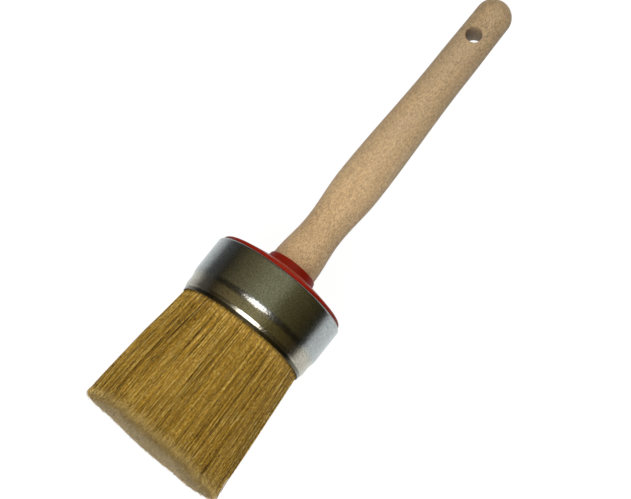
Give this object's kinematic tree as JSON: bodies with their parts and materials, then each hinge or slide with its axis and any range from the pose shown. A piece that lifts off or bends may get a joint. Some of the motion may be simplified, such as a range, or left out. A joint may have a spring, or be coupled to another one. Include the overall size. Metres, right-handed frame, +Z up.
{
  "type": "round stencil brush",
  "caption": "Large round brush with a flaring head of natural bristle, a tinplate ferrule, a domed plug and a turned wooden handle with a hanging hole.",
  "frame": {"origin": "on the table under the middle of the brush's box, which lies on its side", "axes": "+X along the brush from the bristle tips to the butt of the handle, +Y to the side, +Z up from the table; the brush's own axis dips 1.1 degrees towards the butt"},
  "size_m": [0.2603, 0.0724, 0.0714],
  "materials": {
    "beech": "matte",
    "red_plastic": "gloss",
    "tinplate": "satin",
    "resin": "satin",
    "bristle": "matte"
  },
  "bodies": {
    "brush": {"handle": "beech", "plug": "red_plastic", "ferrule": "tinplate", "resin_setting": "resin", "bristle_roots": "bristle"},
    "tuft_0": {"tuft_0": "bristle"},
    "tuft_1_1": {"tuft_1_1": "bristle"},
    "tuft_1_2": {"tuft_1_2": "bristle"},
    "tuft_1_3": {"tuft_1_3": "bristle"},
    "tuft_1_4": {"tuft_1_4": "bristle"},
    "tuft_1_5": {"tuft_1_5": "bristle"},
    "tuft_1_6": {"tuft_1_6": "bristle"},
    "tuft_2_1": {"tuft_2_1": "bristle"},
    "tuft_2_2": {"tuft_2_2": "bristle"},
    "tuft_2_3": {"tuft_2_3": "bristle"},
    "tuft_2_4": {"tuft_2_4": "bristle"},
    "tuft_2_5": {"tuft_2_5": "bristle"},
    "tuft_2_6": {"tuft_2_6": "bristle"},
    "tuft_2_7": {"tuft_2_7": "bristle"},
    "tuft_2_8": {"tuft_2_8": "bristle"},
    "tuft_2_9": {"tuft_2_9": "bristle"},
    "tuft_2_10": {"tuft_2_10": "bristle"},
    "tuft_2_11": {"tuft_2_11": "bristle"},
    "tuft_2_12": {"tuft_2_12": "bristle"},
    "tuft_3_1": {"tuft_3_1": "bristle"},
    "tuft_3_2": {"tuft_3_2": "bristle"},
    "tuft_3_3": {"tuft_3_3": "bristle"},
    "tuft_3_4": {"tuft_3_4": "bristle"},
    "tuft_3_5": {"tuft_3_5": "bristle"},
    "tuft_3_6": {"tuft_3_6": "bristle"},
    "tuft_3_7": {"tuft_3_7": "bristle"},
    "tuft_3_8": {"tuft_3_8": "bristle"},
    "tuft_3_9": {"tuft_3_9": "bristle"},
    "tuft_3_10": {"tuft_3_10": "bristle"},
    "tuft_3_11": {"tuft_3_11": "bristle"},
    "tuft_3_12": {"tuft_3_12": "bristle"},
    "tuft_3_13": {"tuft_3_13": "bristle"},
    "tuft_3_14": {"tuft_3_14": "bristle"},
    "tuft_3_15": {"tuft_3_15": "bristle"},
    "tuft_3_16": {"tuft_3_16": "bristle"},
    "tuft_3_17": {"tuft_3_17": "bristle"},
    "tuft_3_18": {"tuft_3_18": "bristle"}
  },
  "joints": [
    {"name": "tuft_0_flex", "type": "hinge", "parent": "brush", "child": "tuft_0", "pos_m": [-0.07019, 0, 0.03471], "axis": [0.017, 0, 0.9999], "range_deg": [-20, 20], "stiffness_Nm_per_rad": 0.016},
    {"name": "tuft_1_1_flex", "type": "hinge", "parent": "brush", "child": "tuft_1_1", "pos_m": [-0.07032, 0.0046, 0.02674], "axis": [0.017, 0, 0.9999], "range_deg": [-20, 20], "stiffness_Nm_per_rad": 0.016},
    {"name": "tuft_1_2_flex", "type": "hinge", "parent": "brush", "child": "tuft_1_2", "pos_m": [-0.07019, 0.0092, 0.03471], "axis": [0.017, 0, 0.9999], "range_deg": [-20, 20], "stiffness_Nm_per_rad": 0.016},
    {"name": "tuft_1_3_flex", "type": "hinge", "parent": "brush", "child": "tuft_1_3", "pos_m": [-0.07005, 0.0046, 0.04268], "axis": [0.017, 0, 0.9999], "range_deg": [-20, 20], "stiffness_Nm_per_rad": 0.016},
    {"name": "tuft_1_4_flex", "type": "hinge", "parent": "brush", "child": "tuft_1_4", "pos_m": [-0.07005, -0.0046, 0.04268], "axis": [0.017, 0, 0.9999], "range_deg": [-20, 20], "stiffness_Nm_per_rad": 0.016},
    {"name": "tuft_1_5_flex", "type": "hinge", "parent": "brush", "child": "tuft_1_5", "pos_m": [-0.07019, -0.0092, 0.03471], "axis": [0.017, 0, 0.9999], "range_deg": [-20, 20], "stiffness_Nm_per_rad": 0.016},
    {"name": "tuft_1_6_flex", "type": "hinge", "parent": "brush", "child": "tuft_1_6", "pos_m": [-0.07032, -0.0046, 0.02674], "axis": [0.017, 0, 0.9999], "range_deg": [-20, 20], "stiffness_Nm_per_rad": 0.016},
    {"name": "tuft_2_1_flex", "type": "hinge", "parent": "brush", "child": "tuft_2_1", "pos_m": [-0.07049, 0.00476, 0.01694], "axis": [0.017, 0, 0.9999], "range_deg": [-20, 20], "stiffness_Nm_per_rad": 0.016},
    {"name": "tuft_2_2_flex", "type": "hinge", "parent": "brush", "child": "tuft_2_2", "pos_m": [-0.07041, 0.01301, 0.0217], "axis": [0.017, 0, 0.9999], "range_deg": [-20, 20], "stiffness_Nm_per_rad": 0.016},
    {"name": "tuft_2_3_flex", "type": "hinge", "parent": "brush", "child": "tuft_2_3", "pos_m": [-0.07027, 0.01777, 0.02995], "axis": [0.017, 0, 0.9999], "range_deg": [-20, 20], "stiffness_Nm_per_rad": 0.016},
    {"name": "tuft_2_4_flex", "type": "hinge", "parent": "brush", "child": "tuft_2_4", "pos_m": [-0.07011, 0.01777, 0.03947], "axis": [0.017, 0, 0.9999], "range_deg": [-20, 20], "stiffness_Nm_per_rad": 0.016},
    {"name": "tuft_2_5_flex", "type": "hinge", "parent": "brush", "child": "tuft_2_5", "pos_m": [-0.06997, 0.01301, 0.04772], "axis": [0.017, 0, 0.9999], "range_deg": [-20, 20], "stiffness_Nm_per_rad": 0.016},
    {"name": "tuft_2_6_flex", "type": "hinge", "parent": "brush", "child": "tuft_2_6", "pos_m": [-0.06989, 0.00476, 0.05248], "axis": [0.017, 0, 0.9999], "range_deg": [-20, 20], "stiffness_Nm_per_rad": 0.016},
    {"name": "tuft_2_7_flex", "type": "hinge", "parent": "brush", "child": "tuft_2_7", "pos_m": [-0.06989, -0.00476, 0.05248], "axis": [0.017, 0, 0.9999], "range_deg": [-20, 20], "stiffness_Nm_per_rad": 0.016},
    {"name": "tuft_2_8_flex", "type": "hinge", "parent": "brush", "child": "tuft_2_8", "pos_m": [-0.06997, -0.01301, 0.04772], "axis": [0.017, 0, 0.9999], "range_deg": [-20, 20], "stiffness_Nm_per_rad": 0.016},
    {"name": "tuft_2_9_flex", "type": "hinge", "parent": "brush", "child": "tuft_2_9", "pos_m": [-0.07011, -0.01777, 0.03947], "axis": [0.017, 0, 0.9999], "range_deg": [-20, 20], "stiffness_Nm_per_rad": 0.016},
    {"name": "tuft_2_10_flex", "type": "hinge", "parent": "brush", "child": "tuft_2_10", "pos_m": [-0.07027, -0.01777, 0.02995], "axis": [0.017, 0, 0.9999], "range_deg": [-20, 20], "stiffness_Nm_per_rad": 0.016},
    {"name": "tuft_2_11_flex", "type": "hinge", "parent": "brush", "child": "tuft_2_11", "pos_m": [-0.07041, -0.01301, 0.0217], "axis": [0.017, 0, 0.9999], "range_deg": [-20, 20], "stiffness_Nm_per_rad": 0.016},
    {"name": "tuft_2_12_flex", "type": "hinge", "parent": "brush", "child": "tuft_2_12", "pos_m": [-0.07049, -0.00476, 0.01694], "axis": [0.017, 0, 0.9999], "range_deg": [-20, 20], "stiffness_Nm_per_rad": 0.016},
    {"name": "tuft_3_1_flex", "type": "hinge", "parent": "brush", "child": "tuft_3_1", "pos_m": [-0.07065, 0.00479, 0.00753], "axis": [0.017, 0, 0.9999], "range_deg": [-20, 20], "stiffness_Nm_per_rad": 0.016},
    {"name": "tuft_3_2_flex", "type": "hinge", "parent": "brush", "child": "tuft_3_2", "pos_m": [-0.07059, 0.0138, 0.01081], "axis": [0.017, 0, 0.9999], "range_deg": [-20, 20], "stiffness_Nm_per_rad": 0.016},
    {"name": "tuft_3_3_flex", "type": "hinge", "parent": "brush", "child": "tuft_3_3", "pos_m": [-0.07049, 0.02114, 0.01697], "axis": [0.017, 0, 0.9999], "range_deg": [-20, 20], "stiffness_Nm_per_rad": 0.016},
    {"name": "tuft_3_4_flex", "type": "hinge", "parent": "brush", "child": "tuft_3_4", "pos_m": [-0.07035, 0.02594, 0.02527], "axis": [0.017, 0, 0.9999], "range_deg": [-20, 20], "stiffness_Nm_per_rad": 0.016},
    {"name": "tuft_3_5_flex", "type": "hinge", "parent": "brush", "child": "tuft_3_5", "pos_m": [-0.07019, 0.0276, 0.03471], "axis": [0.017, 0, 0.9999], "range_deg": [-20, 20], "stiffness_Nm_per_rad": 0.016},
    {"name": "tuft_3_6_flex", "type": "hinge", "parent": "brush", "child": "tuft_3_6", "pos_m": [-0.07003, 0.02594, 0.04415], "axis": [0.017, 0, 0.9999], "range_deg": [-20, 20], "stiffness_Nm_per_rad": 0.016},
    {"name": "tuft_3_7_flex", "type": "hinge", "parent": "brush", "child": "tuft_3_7", "pos_m": [-0.06989, 0.02114, 0.05245], "axis": [0.017, 0, 0.9999], "range_deg": [-20, 20], "stiffness_Nm_per_rad": 0.016},
    {"name": "tuft_3_8_flex", "type": "hinge", "parent": "brush", "child": "tuft_3_8", "pos_m": [-0.06978, 0.0138, 0.05861], "axis": [0.017, 0, 0.9999], "range_deg": [-20, 20], "stiffness_Nm_per_rad": 0.016},
    {"name": "tuft_3_9_flex", "type": "hinge", "parent": "brush", "child": "tuft_3_9", "pos_m": [-0.06973, 0.00479, 0.06189], "axis": [0.017, 0, 0.9999], "range_deg": [-20, 20], "stiffness_Nm_per_rad": 0.016},
    {"name": "tuft_3_10_flex", "type": "hinge", "parent": "brush", "child": "tuft_3_10", "pos_m": [-0.06973, -0.00479, 0.06189], "axis": [0.017, 0, 0.9999], "range_deg": [-20, 20], "stiffness_Nm_per_rad": 0.016},
    {"name": "tuft_3_11_flex", "type": "hinge", "parent": "brush", "child": "tuft_3_11", "pos_m": [-0.06978, -0.0138, 0.05861], "axis": [0.017, 0, 0.9999], "range_deg": [-20, 20], "stiffness_Nm_per_rad": 0.016},
    {"name": "tuft_3_12_flex", "type": "hinge", "parent": "brush", "child": "tuft_3_12", "pos_m": [-0.06989, -0.02114, 0.05245], "axis": [0.017, 0, 0.9999], "range_deg": [-20, 20], "stiffness_Nm_per_rad": 0.016},
    {"name": "tuft_3_13_flex", "type": "hinge", "parent": "brush", "child": "tuft_3_13", "pos_m": [-0.07003, -0.02594, 0.04415], "axis": [0.017, 0, 0.9999], "range_deg": [-20, 20], "stiffness_Nm_per_rad": 0.016},
    {"name": "tuft_3_14_flex", "type": "hinge", "parent": "brush", "child": "tuft_3_14", "pos_m": [-0.07019, -0.0276, 0.03471], "axis": [0.017, 0, 0.9999], "range_deg": [-20, 20], "stiffness_Nm_per_rad": 0.016},
    {"name": "tuft_3_15_flex", "type": "hinge", "parent": "brush", "child": "tuft_3_15", "pos_m": [-0.07035, -0.02594, 0.02527], "axis": [0.017, 0, 0.9999], "range_deg": [-20, 20], "stiffness_Nm_per_rad": 0.016},
    {"name": "tuft_3_16_flex", "type": "hinge", "parent": "brush", "child": "tuft_3_16", "pos_m": [-0.07049, -0.02114, 0.01697], "axis": [0.017, 0, 0.9999], "range_deg": [-20, 20], "stiffness_Nm_per_rad": 0.016},
    {"name": "tuft_3_17_flex", "type": "hinge", "parent": "brush", "child": "tuft_3_17", "pos_m": [-0.07059, -0.0138, 0.01081], "axis": [0.017, 0, 0.9999], "range_deg": [-20, 20], "stiffness_Nm_per_rad": 0.016},
    {"name": "tuft_3_18_flex", "type": "hinge", "parent": "brush", "child": "tuft_3_18", "pos_m": [-0.07065, -0.00479, 0.00753], "axis": [0.017, 0, 0.9999], "range_deg": [-20, 20], "stiffness_Nm_per_rad": 0.016}
  ],
  "couplings": [
    {"joint": "tuft_1_1_flex", "follows": "tuft_0_flex", "ratio": 1},
    {"joint": "tuft_1_2_flex", "follows": "tuft_0_flex", "ratio": 1},
    {"joint": "tuft_1_3_flex", "follows": "tuft_0_flex", "ratio": 1},
    {"joint": "tuft_1_4_flex", "follows": "tuft_0_flex", "ratio": 1},
    {"joint": "tuft_1_5_flex", "follows": "tuft_0_flex", "ratio": 1},
    {"joint": "tuft_1_6_flex", "follows": "tuft_0_flex", "ratio": 1},
    {"joint": "tuft_2_1_flex", "follows": "tuft_0_flex", "ratio": 1},
    {"joint": "tuft_2_2_flex", "follows": "tuft_0_flex", "ratio": 1},
    {"joint": "tuft_2_3_flex", "follows": "tuft_0_flex", "ratio": 1},
    {"joint": "tuft_2_4_flex", "follows": "tuft_0_flex", "ratio": 1},
    {"joint": "tuft_2_5_flex", "follows": "tuft_0_flex", "ratio": 1},
    {"joint": "tuft_2_6_flex", "follows": "tuft_0_flex", "ratio": 1},
    {"joint": "tuft_2_7_flex", "follows": "tuft_0_flex", "ratio": 1},
    {"joint": "tuft_2_8_flex", "follows": "tuft_0_flex", "ratio": 1},
    {"joint": "tuft_2_9_flex", "follows": "tuft_0_flex", "ratio": 1},
    {"joint": "tuft_2_10_flex", "follows": "tuft_0_flex", "ratio": 1},
    {"joint": "tuft_2_11_flex", "follows": "tuft_0_flex", "ratio": 1},
    {"joint": "tuft_2_12_flex", "follows": "tuft_0_flex", "ratio": 1},
    {"joint": "tuft_3_1_flex", "follows": "tuft_0_flex", "ratio": 1},
    {"joint": "tuft_3_2_flex", "follows": "tuft_0_flex", "ratio": 1},
    {"joint": "tuft_3_3_flex", "follows": "tuft_0_flex", "ratio": 1},
    {"joint": "tuft_3_4_flex", "follows": "tuft_0_flex", "ratio": 1},
    {"joint": "tuft_3_5_flex", "follows": "tuft_0_flex", "ratio": 1},
    {"joint": "tuft_3_6_flex", "follows": "tuft_0_flex", "ratio": 1},
    {"joint": "tuft_3_7_flex", "follows": "tuft_0_flex", "ratio": 1},
    {"joint": "tuft_3_8_flex", "follows": "tuft_0_flex", "ratio": 1},
    {"joint": "tuft_3_9_flex", "follows": "tuft_0_flex", "ratio": 1},
    {"joint": "tuft_3_10_flex", "follows": "tuft_0_flex", "ratio": 1},
    {"joint": "tuft_3_11_flex", "follows": "tuft_0_flex", "ratio": 1},
    {"joint": "tuft_3_12_flex", "follows": "tuft_0_flex", "ratio": 1},
    {"joint": "tuft_3_13_flex", "follows": "tuft_0_flex", "ratio": 1},
    {"joint": "tuft_3_14_flex", "follows": "tuft_0_flex", "ratio": 1},
    {"joint": "tuft_3_15_flex", "follows": "tuft_0_flex", "ratio": 1},
    {"joint": "tuft_3_16_flex", "follows": "tuft_0_flex", "ratio": 1},
    {"joint": "tuft_3_17_flex", "follows": "tuft_0_flex", "ratio": 1},
    {"joint": "tuft_3_18_flex", "follows": "tuft_0_flex", "ratio": 1}
  ]
}
